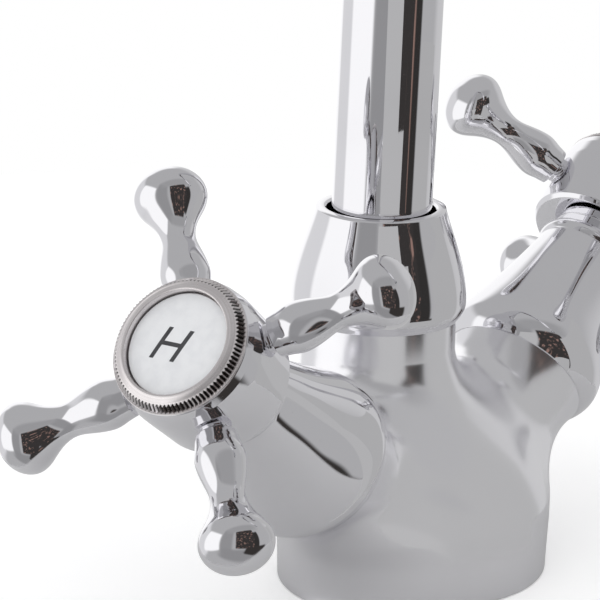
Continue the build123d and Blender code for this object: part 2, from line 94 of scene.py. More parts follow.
# ---------------- outlines and turned pieces
def cubic(t: np.ndarray | float, h: float, a: np.ndarray | float, b: np.ndarray | float,
          slope_a: np.ndarray | float, slope_b: np.ndarray | float) -> np.ndarray | float:
    """A cubic from a to b, a step of h apart, at the share t of the step."""
    return ((2 * t ** 3 - 3 * t ** 2 + 1) * a + (t ** 3 - 2 * t ** 2 + t) * h * slope_a
            + (3 * t ** 2 - 2 * t ** 3) * b + (t ** 3 - t ** 2) * h * slope_b)


@dataclass
class Outline:
    """Outline of a turned piece, drawn as (radius, height), with a rounding at each corner."""

    corners: list[Triple] = field(default_factory=list)
    closed: bool = False

    def path(self, *corners: Point | Triple) -> "Outline":
        """Go on through corners, each a radius, a height and the rounding if it has one."""
        self.corners += [(*corner, 0.0)[:3] for corner in corners]
        return self

    def curve(self, points: Sequence[Point], start: Point | None, end: Point | None, steps: int) -> "Outline":
        """Go on along a smooth curve.

        Args:
            points: Points that the curve goes through, as (radius, height).
            start: Direction at the first point, or None for a free end.
            end: Direction at the last point, or None for a free end.
            steps: Samples between two neighbouring points.

        Returns:
            The outline.
        """
        p = np.array(points, float)
        h = np.hypot(*np.diff(p, axis=0).T)
        n = len(p)
        a, b = np.zeros((n, n)), np.zeros((n, 2))
        for i in range(1, n - 1):
            a[i, i - 1], a[i, i], a[i, i + 1] = 1 / h[i - 1], 2 / h[i - 1] + 2 / h[i], 1 / h[i]
            b[i] = 3 * ((p[i] - p[i - 1]) / h[i - 1] ** 2 + (p[i + 1] - p[i]) / h[i] ** 2)
        for row, near, gap, way in ((0, 1, h[0], start), (n - 1, n - 2, h[-1], end)):
            if way is None:
                a[row, row], a[row, near] = 2 / gap, 1 / gap
                b[row] = 3 * abs(near - row) * (p[max(row, near)] - p[min(row, near)]) / gap ** 2
            else:
                a[row, row] = 1
                b[row] = np.array(way) / np.hypot(*way)
        m = np.linalg.solve(a, b)
        return self.path(points[0], *(cubic(k / steps, h[i], p[i], p[i + 1], m[i], m[i + 1])
                                      for i in range(n - 1) for k in range(1, steps + 1)))

    def arc(self, first: Point, middle: Point, last: Point, steps: int) -> "Outline":
        """Go on along the circle through three points."""
        (ax, ay), (bx, by), (cx, cy) = first, middle, last
        d = 2 * (ax * (by - cy) + bx * (cy - ay) + cx * (ay - by))
        sa, sb, sc = ax * ax + ay * ay, bx * bx + by * by, cx * cx + cy * cy
        ox = (sa * (by - cy) + sb * (cy - ay) + sc * (ay - by)) / d
        oy = (sa * (cx - bx) + sb * (ax - cx) + sc * (bx - ax)) / d
        start = math.atan2(ay - oy, ax - ox)
        swing = (math.atan2(cy - oy, cx - ox) - start) % math.tau
        if (math.atan2(by - oy, bx - ox) - start) % math.tau > swing:
            swing -= math.tau
        radius = math.hypot(ax - ox, ay - oy)
        angles = [start + swing * k / steps for k in range(steps + 1)]
        return self.path(*((ox + radius * math.cos(a), oy + radius * math.sin(a)) for a in angles))

    def samples(self, steps: int = 6) -> np.ndarray:
        """Work out the outline with its corners rounded.

        Args:
            steps: Samples on each rounding.

        Returns:
            An array of (radius, height), with the inside on its left.
        """
        points = [c for i, c in enumerate(self.corners)
                  if i == 0 or math.hypot(c[0] - self.corners[i - 1][0], c[1] - self.corners[i - 1][1]) > 1e-5]
        count = len(points)
        found: list[Point] = []
        for i, (r, z, rounding) in enumerate(points):
            at_end = not self.closed and i in (0, count - 1)
            if rounding <= 0 or at_end:
                found.append((r, z))
                continue
            here = np.array((r, z))
            back = np.array(points[i - 1][:2]) - here
            ahead = np.array(points[(i + 1) % count][:2]) - here
            back_len, ahead_len = np.hypot(*back), np.hypot(*ahead)
            back, ahead = back / back_len, ahead / ahead_len
            half = math.acos(max(-1.0, min(1.0, float(back @ ahead)))) / 2
            reach = min(rounding / max(math.tan(half), 1e-3), 0.45 * back_len, 0.45 * ahead_len)
            for t in (k / steps for k in range(steps + 1)):
                found.append(tuple(here + back * reach * (1 - t) ** 2 + ahead * reach * t ** 2))
        line = np.array(found)
        area = np.sum(line[:, 0] * np.roll(line[:, 1], -1) - np.roll(line[:, 0], -1) * line[:, 1])
        return line if area > 0 else line[::-1].copy()


@dataclass
class Knurl:
    """A band of V-shaped teeth cut into a turned piece between two heights."""

    low: float
    high: float
    depth: float
    teeth: int
    points_per_tooth: int = 6

    def cut(self, angle: np.ndarray) -> np.ndarray:
        """Depth of the cut round the piece, from 0 at a tooth's tip to the full depth."""
        share = np.abs((angle * self.teeth / math.tau + 0.5) % 1.0 - 0.5) * 2
        return self.depth * np.clip(share * 1.12 - 0.06, 0, 1)


def new_mesh(name: str, points: Sequence[Triple] | np.ndarray, faces: Sequence[Sequence[int]]) -> Mesh:
    """A smooth mesh on points in millimetres."""
    mesh = bpy.data.meshes.new(name)
    mesh.from_pydata((np.array(points) * MM).tolist(), [], faces)
    mesh.polygons.foreach_set("use_smooth", [True] * len(mesh.polygons))
    return mesh


def ring_faces(rings: Sequence[Sequence[int]]) -> list[list[int]]:
    """Faces between neighbouring rings of points, without the corners that fall together."""
    faces = []
    for low, high in zip(rings, rings[1:]):
        for k in range(len(low)):
            n = (k + 1) % len(low)
            loop = list(dict.fromkeys((low[k], low[n], high[n], high[k])))
            if len(loop) > 2:
                faces.append(loop)
    return faces


def turned_mesh(name: str, outline: Outline, around: int = 160, knurl: Knurl | None = None) -> Mesh:
    """Turn an outline about Z into a mesh whose normals are those of the true surface.

    Args:
        name: Name of the mesh.
        outline: The outline, in millimetres.
        around: Points round the piece.
        knurl: Teeth to cut, or None for a plain piece.

    Returns:
        The mesh, in metres. Its points carry lathe_radius, lathe_height and lathe_cut, in millimetres.
    """
    line = outline.samples()
    if knurl:
        around = knurl.teeth * knurl.points_per_tooth
    angle = np.arange(around) * math.tau / around
    cos, sin = np.cos(angle), np.sin(angle)
    steps = np.diff(np.vstack([line, line[:1]]), axis=0)
    flat = np.column_stack([steps[:, 1], -steps[:, 0]])      # as long as its step, so it weighs as much
    if not outline.closed:
        flat[-1] = 0
    tilt = flat + np.roll(flat, 1, axis=0)
    tilt /= np.maximum(np.hypot(*tilt.T), 1e-12)[:, None]
    points, normals, rings, marks = [], [], [], []
    for (r, z), (nr, nz) in zip(line, tilt):
        start = len(points)
        if r < 1e-6:
            points.append((0.0, 0.0, z))
            normals.append((0.0, 0.0, math.copysign(1.0, nz)))
            rings.append([start] * around)
            marks.append((0.0, z, 0.0))
            continue
        cut = knurl.cut(angle) if knurl and knurl.low < z < knurl.high else np.zeros(around)
        points += list(zip((r - cut) * cos, (r - cut) * sin, np.full(around, z)))
        normals += list(zip(nr * cos, nr * sin, np.full(around, nz)))
        rings.append(list(range(start, start + around)))
        marks += [(r, z, c) for c in cut]
    mesh = new_mesh(name, points, ring_faces(rings + rings[:1] if outline.closed else rings))
    for label, values in zip(("lathe_radius", "lathe_height", "lathe_cut"), np.array(marks, np.float32).T):
        mesh.attributes.new(label, "FLOAT", "POINT").data.foreach_set("value", values.copy())
    if knurl:
        mesh.set_sharp_from_angle(angle=math.radians(28))
    else:
        mesh.normals_split_custom_set_from_vertices(normals)
    return mesh


def swept_mesh(name: str, centres: np.ndarray, ways: np.ndarray, radius: float, around: int = 128) -> Mesh:
    """Sweep a circle along a line that lies in the plane of Y and Z.

    Args:
        name: Name of the mesh.
        centres: Points of the line, in millimetres.
        ways: Unit direction of the line at each point.
        radius: Radius of the circle.
        around: Points round the circle.

    Returns:
        The mesh, in metres, open at both ends.
    """
    across = np.array((1.0, 0.0, 0.0))
    angle = np.arange(around) * math.tau / around
    rings = [np.outer(np.cos(angle), across) + np.outer(np.sin(angle), np.cross(way, across)) for way in ways]
    points = np.vstack([centre + radius * ring for centre, ring in zip(centres, rings)])
    mesh = new_mesh(name, points, ring_faces(np.arange(len(points)).reshape(-1, around).tolist()))
    mesh.normals_split_custom_set_from_vertices(np.vstack(rings).tolist())
    return mesh


def piece(name: str, mesh: Mesh, place: Matrix, body: str, slot: str, finish: Material,
          *stands_for: str) -> None:
    """Put a mesh into the scene as a piece of the faucet.

    Args:
        name: Name of the piece.
        mesh: Its mesh.
        place: Where it stands.
        body: The body that it moves with.
        slot: The record's material slot; not used.
        finish: Its material.
        stands_for: Nodes that it is shown in place of.
    """
    obj = bpy.data.objects.new(name, mesh)
    bpy.context.scene.collection.objects.link(obj)
    obj.matrix_world = place
    if not mesh.materials:
        mesh.materials.append(finish)
    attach(obj, body)
    if stands_for:
        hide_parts(*stands_for)
    log.info("%s: %d faces, rides on %s", name, len(mesh.polygons), body)


# ---------------- shader maths
def _operator(operation: str, flipped: bool = False) -> Callable[..., "Value"]:
    """Make a method of Value that does one operation of the Math node.

    Args:
        operation: The node's operation.
        flipped: Whether the value comes after the other term.

    Returns:
        The method.
    """
    def method(self: "Value", *other: "Value | float") -> "Value":
        """Add one Math node on the terms."""
        terms = (*other, self) if flipped else (self, *other)
        return self.tree.value("Math", "Value", {"operation": operation}, dict(enumerate(terms)))

    return method


class Value:
    """A number that varies over a surface: a socket with arithmetic."""

    def __init__(self, tree: "Tree", socket: Socket) -> None:
        """Wrap a socket of the tree."""
        self.tree = tree
        self.socket = socket

    __add__ = _operator("ADD")
    __mul__ = _operator("MULTIPLY")
    __rsub__ = _operator("SUBTRACT", flipped=True)
    __truediv__ = _operator("DIVIDE")
    __abs__ = _operator("ABSOLUTE")
    at_least = _operator("MAXIMUM")

    def ramp(self, low: float, high: float, start: float = 0.0, end: float = 1.0) -> "Value":
        """Ease from start to end while this goes from low to high."""
        sockets = {"Value": self, "From Min": low, "From Max": high, "To Min": start, "To Max": end}
        settings = {"interpolation_type": "SMOOTHSTEP", "clamp": True}
        return self.tree.value("MapRange", "Result", settings, sockets)


class Tree:
    """A node tree that is being written."""

    def __init__(self, nodes: bpy.types.NodeTree) -> None:
        """Empty the tree."""
        self.tree = nodes
        self.tree.nodes.clear()

    def node(self, kind: str, settings: dict | None = None, sockets: dict | None = None) -> bpy.types.Node:
        """Add a node.

        Args:
            kind: Type of the node, without its first word, ShaderNode.
            settings: Its own settings, set first.
            sockets: Values or links of its input sockets, by name or number.

        Returns:
            The node.
        """
        made = self.tree.nodes.new("ShaderNode" + kind)
        for key, value in (settings or {}).items():
            setattr(made, key, value)
        for key, value in (sockets or {}).items():
            target = made.inputs[key]
            if isinstance(value, Value):
                self.tree.links.new(value.socket, target)
            elif isinstance(value, Socket):
                self.tree.links.new(value, target)
            elif isinstance(value, (tuple, list)) and target.type == "RGBA" and len(value) == 3:
                target.default_value = (*value, 1.0)
            else:
                target.default_value = value
        return made

    def value(self, kind: str, output: str, settings: dict | None = None, sockets: dict | None = None) -> Value:
        """Add a node and wrap one of its outputs as a number."""
        return Value(self, self.node(kind, settings, sockets).outputs[output])

    def shader(self, kind: str, sockets: dict | None = None) -> Socket:
        """Add a shader node and give its output."""
        return self.node(kind, None, sockets).outputs[0]

    def mixed(self, share: Value, first: Socket, second: Socket) -> Socket:
        """A shader between two, by the share of the second."""
        return self.shader("MixShader", {0: share, 1: first, 2: second})

    def put_out(self, surface: Socket, kind: str = "OutputMaterial") -> None:
        """End the tree in a shader."""
        self.node(kind, None, {"Surface": surface})

    def noise(self, scale: float, detail: float = 2.0, vector: Socket | None = None,
              roughness: float = 0.5) -> Value:
        """Noise over the object's own coordinates, scale in waves for each metre."""
        if vector is None:
            vector = self.node("TexCoord").outputs["Object"]
        sockets = {"Vector": vector, "Scale": scale, "Detail": detail, "Roughness": roughness}
        return self.value("TexNoise", "Fac", None, sockets)

    def lathe(self, label: str) -> Value:
        """A turned mesh's own radius, height or cut, in millimetres."""
        return self.value("Attribute", "Fac", {"attribute_type": "GEOMETRY", "attribute_name": label})

    def ray(self, kind: str) -> Value:
        """Whether the ray is of a kind."""
        return self.value("LightPath", f"Is {kind} Ray")

    def blend(self, share: Value, first: "Socket | Triple",
              second: "Socket | Triple") -> Socket:
        """A colour between two, by the share of the second."""
        sockets = {0: share, 6: first, 7: second}
        return self.node("Mix", {"data_type": "RGBA"}, sockets).outputs[2]

    def bump(self, height: Value, distance: float, strength: float = 1.0) -> Socket:
        """A normal tilted by a height, distance in millimetres."""
        sockets = {"Height": height, "Distance": distance * MM, "Strength": strength}
        return self.node("Bump", None, sockets).outputs["Normal"]


def new_tree(name: str) -> tuple[Material, Tree]:
    """A new material and its empty tree."""
    material = bpy.data.materials.new(name)
    material.use_nodes = True
    return material, Tree(material.node_tree)


# ---------------- finishes
@dataclass(frozen=True)
class Finish:
    """A finish made with one Principled shader."""

    name: str

    def inputs(self, tree: Tree) -> dict:
        """The shader's inputs, by name."""
        raise NotImplementedError

    def material(self) -> Material:
        """Make the material."""
        material, tree = new_tree(self.name)
        tree.put_out(tree.shader("BsdfPrincipled", self.inputs(tree)))
        return material


@dataclass(frozen=True)
class Chrome(Finish):
    """Polished plate: bright, with faint smears and the slow waves that polishing leaves."""

    tint: Triple = (0.865, 0.86, 0.885)
    worn: Triple = (0.80, 0.795, 0.82)
    gloss: float = 0.035
    smear: float = 0.05
    wave_height: float = 0.0
    wave_scale: float = 60.0
    smear_scale: float = 38.0
    speck_scale: float = 900.0
    speck: float = 0.08

    def inputs(self, tree: Tree) -> dict:
        """The shader's inputs, by name."""
        smears = tree.noise(self.smear_scale, 4.0).ramp(0.45, 0.78)
        specks = tree.noise(self.speck_scale, 2.0).ramp(0.70, 0.80)
        sockets = {
            "Base Color": tree.blend(smears * 0.6 + specks * 0.4, self.tint, self.worn),
            "Metallic": 1.0,
            "Roughness": smears * self.smear + specks * self.speck + self.gloss,
        }
        if self.wave_height:
            sockets["Normal"] = tree.bump(tree.noise(self.wave_scale, 1.0), self.wave_height)
        return sockets


@dataclass(frozen=True)
class SatinRing(Finish):
    """Satin plate of the cap ring: fine turning marks on its face, and painted shade darkening the grooves of its
    knurl.
    """

    bright: Triple = (0.93, 0.89, 0.89)
    dull: Triple = (0.74, 0.70, 0.70)
    # painted shade: the colour that the knurl's grooves darken to, reached between the two cut depths below
    groove_shade: Triple = (0.10, 0.095, 0.09)
    groove_shade_depths: Point = (0.12, 0.42)
    face_height: float = 104.7
    marks_per_mm: float = 9.0

    def inputs(self, tree: Tree) -> dict:
        """The shader's inputs, by name."""
        radius, height = tree.lathe("lathe_radius"), tree.lathe("lathe_height")
        across = {"X": radius * self.marks_per_mm, "Y": height * self.marks_per_mm}
        marks = tree.noise(1.0, 3.0, tree.node("CombineXYZ", None, across).outputs[0])
        patches = tree.noise(160.0, 3.0)
        on_face = height.ramp(self.face_height - 0.25, self.face_height)
        plate = tree.blend((marks * 0.7 + patches * 0.5).ramp(0.35, 0.85), self.bright, self.dull)
        return {
            # Painted shade: the knurl's grooves are darkened toward their full cut depth.
            "Base Color": tree.blend(tree.lathe("lathe_cut").ramp(*self.groove_shade_depths), plate, self.groove_shade),
            "Metallic": 1.0,
            "Roughness": on_face * 0.10 + patches * 0.10 + 0.12,
            "Normal": tree.bump(marks * on_face, 0.02, 0.5),
        }


@dataclass(frozen=True)
class Glaze(Finish):
    """White glazed porcelain: a faint mottle under a clear glaze."""

    white: Triple = (0.86, 0.87, 0.885)
    shade: Triple = (0.80, 0.81, 0.83)

    def inputs(self, tree: Tree) -> dict:
        """The shader's inputs, by name."""
        mottle = tree.noise(420.0, 3.0).ramp(0.35, 0.75)
        return {
            "Base Color": tree.blend(mottle, self.white, self.shade),
            "Roughness": mottle * 0.06 + 0.12,
            "Specular IOR Level": 0.5,
            "Coat Weight": 1.0,
            "Coat Roughness": 0.03,
            "Normal": tree.bump(tree.noise(110.0, 1.0), 0.01),
        }


@dataclass(frozen=True)
class Plain(Finish):
    """A plainer finish for the inner pieces: two tones and a fine grain."""

    light: Triple
    dark: Triple
    metal: float = 0.0
    roughness: float = 0.5
    spread: float = 0.15
    grain: float = 500.0
    depth: float = 0.01

    def inputs(self, tree: Tree) -> dict:
        """The shader's inputs, by name."""
        grain = tree.noise(self.grain, 4.0, roughness=0.6)
        share = (grain * 0.6 + tree.noise(self.grain / 9, 2.0) * 0.4).ramp(0.3, 0.7)
        return {
            "Base Color": tree.blend(share, self.light, self.dark),
            "Metallic": self.metal,
            "Roughness": share * self.spread + self.roughness,
            "Normal": tree.bump(grain, self.depth, 0.6),
        }


class Finishes:
    """Every finish of the faucet, made once."""

    def __init__(self) -> None:
        """Make the materials."""
        self.casting = Chrome("polished_casting", (0.925, 0.92, 0.945), (0.88, 0.875, 0.90), 0.19,
                              wave_height=0.012, wave_scale=45.0).material()
        self.turned = Chrome("polished_turning", smear=0.03, wave_height=0.004, wave_scale=90.0).material()
        self.drawn = Chrome("polished_tube", smear=0.02).material()
        self.ring = SatinRing("satin_ring").material()
        self.porcelain = Glaze("porcelain_glaze").material()
        self.print_ink = Plain("fired_print", (0.035, 0.035, 0.04), (0.07, 0.07, 0.075), roughness=0.3).material()
        self.of_slot = {"chrome": self.turned, "satin_chrome": self.ring, "porcelain": self.porcelain}
        for slot, *look in (
            ("brass", "turned_brass", (0.83, 0.62, 0.30), (0.68, 0.48, 0.21), 1.0, 0.25),
            ("steel", "plain_steel", (0.62, 0.62, 0.63), (0.42, 0.42, 0.43), 1.0, 0.30),
            ("rubber", "black_rubber", (0.030, 0.030, 0.030), (0.014, 0.014, 0.014), 0.0, 0.6),
            ("nylon", "white_nylon", (0.80, 0.79, 0.74), (0.72, 0.70, 0.65), 0.0, 0.45),
            ("alumina", "lapped_alumina", (0.86, 0.84, 0.80), (0.78, 0.76, 0.72), 0.0, 0.30),
            ("flow_plastic", "flow_plastic", (0.62, 0.64, 0.67), (0.52, 0.54, 0.57), 0.0, 0.4),
        ):
            self.of_slot[slot] = Plain(*look).material()


# ---------------- body
@dataclass
class Casting:
    """The cast body: a skirt that leans back into the spout's neck, with two arms blended in."""

    base_radius: float = 26.0
    wall_top_radius: float = 25.4
    wall_height: float = 13.5
    neck_y: float = 10.0
    neck_radius: float = 15.65
    neck_foot: float = 44.0
    neck_top: float = 50.4
    skirt_rise: float = 1.25
    skirt_run: float = 1.5
    arm_angle: float = 36.5
    arm_base: float = 3.0
    arm_face: float = 46.8
    # each a distance along the arm, its radius there and that radius's slope
    arm_radii: tuple[Triple, ...] = ((0.0, 13.5, 0.35), (18.0, 16.3, -0.22), (37.0, 13.45, 0.012), (46.8, 15.1, 0.35))
    blend: float = 12.0          # rounding between an arm and the skirt
    flank_blend: float = 20.0    # and under the arm
    flank_depth: float = 10.0    # reached this far below the arm's axis
    flank_foot: float = 8.0      # it begins at this height
    flank_rise: float = 14.0     # and is full this much higher
    net_low: Triple = (-52.0, -30.0, -2.4)
    net_high: Triple = (52.0, 30.0, 54.0)
    cell: float = 0.8
    flat_gap: float = 0.3        # a face further than this from the surface is one of the cuts

    def arm_place(self, side: Side) -> Matrix:
        """Frame of an arm: Z runs out along its axis."""
        out, up = (Vector(way) for way in side.axes(self.arm_angle))
        place = Matrix((up, out.cross(up), out)).transposed().to_4x4()
        place.translation = Vector((0, 0, self.arm_base * MM))
        return place

    def _skirt(self, p: np.ndarray) -> np.ndarray:
        """Distance to the skirt and neck, in millimetres, less than nothing inside."""
        x, y, z = p.T
        t = np.clip((z - self.wall_height) / (self.neck_foot - self.wall_height), 0, 1)
        share = 1 - (1 - t ** self.skirt_rise) ** self.skirt_run
        wall = self.base_radius + (self.wall_top_radius - self.base_radius) * z / self.wall_height
        radius = np.where(z < self.wall_height, wall,
                          self.wall_top_radius + (self.neck_radius - self.wall_top_radius) * share)
        gap = np.hypot(x, y - self.neck_y * share) - radius
        slope = (self.wall_top_radius - self.neck_radius) / (self.neck_foot - self.wall_height)
        return gap / np.sqrt(1 + (slope * 4 * t * (1 - t) * 1.2) ** 2)

    def _arm(self, p: np.ndarray, side: Side) -> np.ndarray:
        """Distance to one arm, in millimetres, less than nothing inside."""
        q = p - np.array((0, 0, self.arm_base))
        s = q @ side.axes(self.arm_angle)[0]
        away = np.sqrt(np.maximum(np.sum(q * q, axis=1) - s * s, 0))
        radius, tilt = np.full(len(s), self.arm_radii[0][1]), np.zeros(len(s))
        for (s0, r0, m0), (s1, r1, m1) in zip(self.arm_radii, self.arm_radii[1:]):
            last = s1 == self.arm_radii[-1][0]
            on = (s >= s0) & ((s < s1) | last)
            h = s1 - s0
            t = (s[on] - s0) / h
            radius[on] = cubic(t, h, r0, r1, m0, m1)
            tilt[on] = ((6 * t ** 2 - 6 * t) * (r0 - r1) / h + (3 * t ** 2 - 4 * t + 1) * m0
                        + (3 * t ** 2 - 2 * t) * m1)
        return (away - radius) / np.sqrt(1 + tilt * tilt)

    def _rounding(self, p: np.ndarray, side: Side) -> np.ndarray:
        """Radius of the corner between an arm and the skirt: larger under the arm."""
        above = (p - np.array((0, 0, self.arm_base))) @ side.axes(self.arm_angle)[1]
        under = np.clip(-above / self.flank_depth, 0, 1)
        risen = np.clip((p[:, 2] - self.flank_foot) / self.flank_rise, 0, 1)
        share = under * under * (3 - 2 * under) * risen * risen * (3 - 2 * risen)
        return self.blend + (self.flank_blend - self.blend) * share

    def distance(self, p: np.ndarray) -> np.ndarray:
        """Distance to the whole casting, in millimetres, less than nothing inside."""
        shape = self._skirt(p)
        for side in Side:
            arm, k = self._arm(p, side), self._rounding(p, side)
            shape = (np.maximum(k, np.minimum(shape, arm))
                     - np.hypot(np.maximum(k - shape, 0), np.maximum(k - arm, 0)))
        return shape

    def slope(self, p: np.ndarray, step: float = 0.02) -> np.ndarray:
        """Direction in which the distance grows fastest."""
        shifts = step * np.eye(3)
        return np.column_stack([(self.distance(p + way) - self.distance(p - way)) / (2 * step) for way in shifts])

    def _net(self) -> tuple[np.ndarray, list[list[int]]]:
        """Lay a net over the surface: one point to each grid cell that it crosses, pulled onto it.

        Returns:
            The points, in millimetres, and the faces between them.
        """
        low = np.array(self.net_low)
        count = np.ceil((np.array(self.net_high) - low) / self.cell).astype(int)
        axes = [low[i] + self.cell * np.arange(count[i]) for i in range(3)]
        grid = np.stack(np.meshgrid(*axes, indexing="ij"), axis=-1)
        inside = self.distance(grid.reshape(-1, 3)).reshape(tuple(count)) < 0
        cells = np.zeros(tuple(count - 1), int) - 1
        corner_sum = sum(inside[i:count[0] - 1 + i, j:count[1] - 1 + j, k:count[2] - 1 + k].astype(int)
                         for i in (0, 1) for j in (0, 1) for k in (0, 1))
        on = np.argwhere((corner_sum > 0) & (corner_sum < 8))
        cells[tuple(on.T)] = np.arange(len(on))
        points = low + self.cell * (on + 0.5)
        for _ in range(5):
            way = self.slope(points)
            points = points - way * (self.distance(points) / np.maximum(np.sum(way * way, axis=1), 0.05))[:, None]
        faces = []
        for axis in range(3):
            near = [slice(1, -1)] * 3
            near[axis] = slice(0, -1)
            far = list(near)
            far[axis] = slice(1, None)
            first, second = inside[tuple(near)], inside[tuple(far)]
            for cell_at in np.argwhere(first != second):
                spot = cell_at + 1
                spot[axis] -= 1
                around = []
                for back in ((1, 1), (0, 1), (0, 0), (1, 0)):
                    corner = spot.copy()
                    corner[[(axis + 1) % 3, (axis + 2) % 3]] -= back
                    around.append(int(cells[tuple(corner)]))
                if min(around) >= 0:
                    faces.append(around if first[tuple(cell_at)] else around[::-1])
        return points, faces

    def mesh(self) -> Mesh:
        """Make the casting's mesh, cut off at its foot, its arm faces and its neck."""
        mesh = new_mesh("casting", *self._net())
        shape = bmesh.new()
        shape.from_mesh(mesh)
        cuts = [(Vector((0, 0, 0)), Vector((0, 0, -1))), (Vector((0, 0, self.neck_top * MM)), Vector((0, 0, 1)))]
        for side in Side:
            place = self.arm_place(side)
            cuts.append((place @ Vector((0, 0, self.arm_face * MM)), place.to_3x3() @ Vector((0, 0, 1))))
        for spot, way in cuts:
            everything = shape.verts[:] + shape.edges[:] + shape.faces[:]
            cut = bmesh.ops.bisect_plane(shape, geom=everything, plane_co=spot, plane_no=way, clear_outer=True)
            rim = [e for e in cut["geom_cut"] if isinstance(e, bmesh.types.BMEdge)]
            bmesh.ops.holes_fill(shape, edges=rim, sides=0)
        shape.to_mesh(mesh)
        shape.free()
        self._shade(mesh)
        return mesh

    def _shade(self, mesh: Mesh) -> None:
        """Give the outside the true surface's normals, and leave the cut faces flat."""
        mesh.polygons.foreach_set("use_smooth", [True] * len(mesh.polygons))
        way = self.slope(np.array([v.co for v in mesh.vertices]) / MM)
        way /= np.linalg.norm(way, axis=1)[:, None]
        normals = [(0.0, 0.0, 0.0)] * len(mesh.loops)
        for face in mesh.polygons:
            off = abs(self.distance(np.array([face.center]) / MM)[0])
            flat = len(face.vertices) > 8 or off > self.flat_gap
            for loop in face.loop_indices:
                normals[loop] = tuple(face.normal if flat else way[mesh.loops[loop].vertex_index])
        mesh.normals_split_custom_set(normals)

    def build(self, finishes: Finishes) -> None:
        """Put the casting into the scene."""
        piece("casting", self.mesh(), Matrix.Identity(4), "body", "chrome", finishes.casting, "body_casting")


# ---------------- spout
@dataclass
class Spout:
    """The collar on the neck, the swan-neck tube and the outlet with its aerator."""

    neck_y: float = 10.0
    collar_low: float = 50.4
    collar_top: float = 72.8
    collar_top_radius: float = 12.9
    collar_side: tuple[Point, ...] = ((14.95, 66.4), (17.25, 57.7), (17.55, 54.6), (17.2, 52.2))
    collar_mouth_radius: float = 10.9
    collar_mouth_edge: float = 0.4
    collar_thread_radius: float = 13.7
    collar_hollow_top: float = 61.3
    foot_radius: float = 16.0
    tube_radius: float = 10.0
    tube_foot: float = 61.25
    upright: float = 4.0
    rake: float = 1.3
    rake_radius: float = 120.0
    crown: float = 288.0
    swan_radius: float = 84.0
    drop: float = 10.0
    ferrule_radius: float = 12.0
    ferrule_height: float = 15.0
    ferrule_overlap: float = 8.0
    ferrule_gap: float = 0.05
    aerator_radius: float = 10.6
    aerator_gap: float = 0.1
    aerator_lip_radius: float = 11.6
    aerator_lip_height: float = 2.2
    aerator_wall: float = 1.2
    washer_height: float = 1.5

    def collar(self) -> Outline:
        """The bell-shaped nut."""
        low, hollow, thread, mouth = (self.collar_low, self.collar_hollow_top, self.collar_thread_radius,
                                      self.collar_mouth_radius)
        side = [(self.collar_top_radius, self.collar_top), *self.collar_side, (self.foot_radius, low)]
        return Outline(closed=True).curve(side, (0.27, -1), (-0.6, -1), 14).path(
            (self.foot_radius - 0.3, low, 0.1), (thread, low, 0.1), (thread, hollow, 0.1), (mouth, hollow, 0.1),
            (mouth, self.collar_top - self.collar_mouth_edge, 0.2),
            (mouth + self.collar_mouth_edge, self.collar_top, 0.2))

    def line(self) -> tuple[np.ndarray, np.ndarray]:
        """Centre line of the tube.

        Returns:
            Its points, in millimetres, and its unit directions.
        """
        rake, swan = math.radians(self.rake), self.swan_radius
        spots, ways = [(0.0, self.tube_foot)], [(0.0, 1.0)]
        bend_z = self.tube_foot + self.upright
        for k in range(9):
            a = rake * k / 8
            spots.append((self.rake_radius * (1 - math.cos(a)), bend_z + self.rake_radius * math.sin(a)))
            ways.append((math.sin(a), math.cos(a)))
        foot_x, foot_z = spots[-1]
        run = (self.crown - self.tube_radius - swan + swan * math.sin(rake) - foot_z) / math.cos(rake)
        for k in range(1, 9):
            spots.append((foot_x + run * math.sin(rake) * k / 8, foot_z + run * math.cos(rake) * k / 8))
            ways.append((math.sin(rake), math.cos(rake)))
        middle_x, middle_z = spots[-1][0] + swan * math.cos(rake), spots[-1][1] - swan * math.sin(rake)
        for k in range(1, 121):
            a = math.pi - rake - (math.pi - rake) * k / 120
            spots.append((middle_x + swan * math.cos(a), middle_z + swan * math.sin(a)))
            ways.append((math.sin(a), -math.cos(a)))
        end_x, end_z = spots[-1]
        spots += [(end_x, end_z - self.drop / 2), (end_x, end_z - self.drop)]
        ways += [(0.0, -1.0)] * 2
        return np.array([(0.0, self.neck_y - x, z) for x, z in spots]), np.array([(0.0, -x, z) for x, z in ways])

    def ferrule(self) -> Outline:
        """The socket over the tube's end, from the tube's end up and down."""
        low, high = self.ferrule_overlap - self.ferrule_height, self.ferrule_overlap
        tube, seat = self.tube_radius + self.ferrule_gap, self.aerator_radius + self.aerator_gap
        return Outline(closed=True).path(
            (self.ferrule_radius, low, 0.6), (self.ferrule_radius, high, 0.8), (tube, high, 0.1), (tube, 0.0, 0.1),
            (self.tube_radius - 1, 0.0, 0.1), (self.tube_radius - 1, -self.washer_height, 0.1),
            (seat, -self.washer_height, 0.1), (seat, low, 0.1))

    def aerator(self) -> Outline:
        """The threaded shell round the aerator."""
        top, seat = -2 * self.washer_height, self.ferrule_overlap - self.ferrule_height
        low = seat - self.aerator_lip_height
        lip, outer = self.aerator_lip_radius, self.aerator_radius
        bore, mouth = outer - self.aerator_wall, outer - 2 * self.aerator_wall
        return Outline(closed=True).path(
            (lip, low, 0.5), (lip, seat, 0.2), (outer, seat, 0.05), (outer, top, 0.2), (bore, top, 0.1),
            (bore, low + 1, 0.1), (mouth, low + 1, 0.1), (mouth, low, 0.3))

    def build(self, finishes: Finishes) -> None:
        """Put the collar, tube and outlet into the scene."""
        neck = Matrix.Translation((0, self.neck_y * MM, 0))
        piece("collar", turned_mesh("collar", self.collar(), 224), neck, "body", "chrome", finishes.turned,
              "spout_collar")
        line, ways = self.line()
        piece("tube", swept_mesh("tube", line, ways, self.tube_radius), Matrix.Identity(4), "spout", "chrome",
              finishes.drawn, "spout_tube")
        outlet = Matrix.Translation(Vector(line[-1]) * MM)
        for name, outline, node in (("ferrule", self.ferrule(), "outlet_ferrule"),
                                    ("aerator_shell", self.aerator(), "aerator_housing")):
            piece(name, turned_mesh(name, outline), outlet, "spout", "chrome", finishes.turned, node)


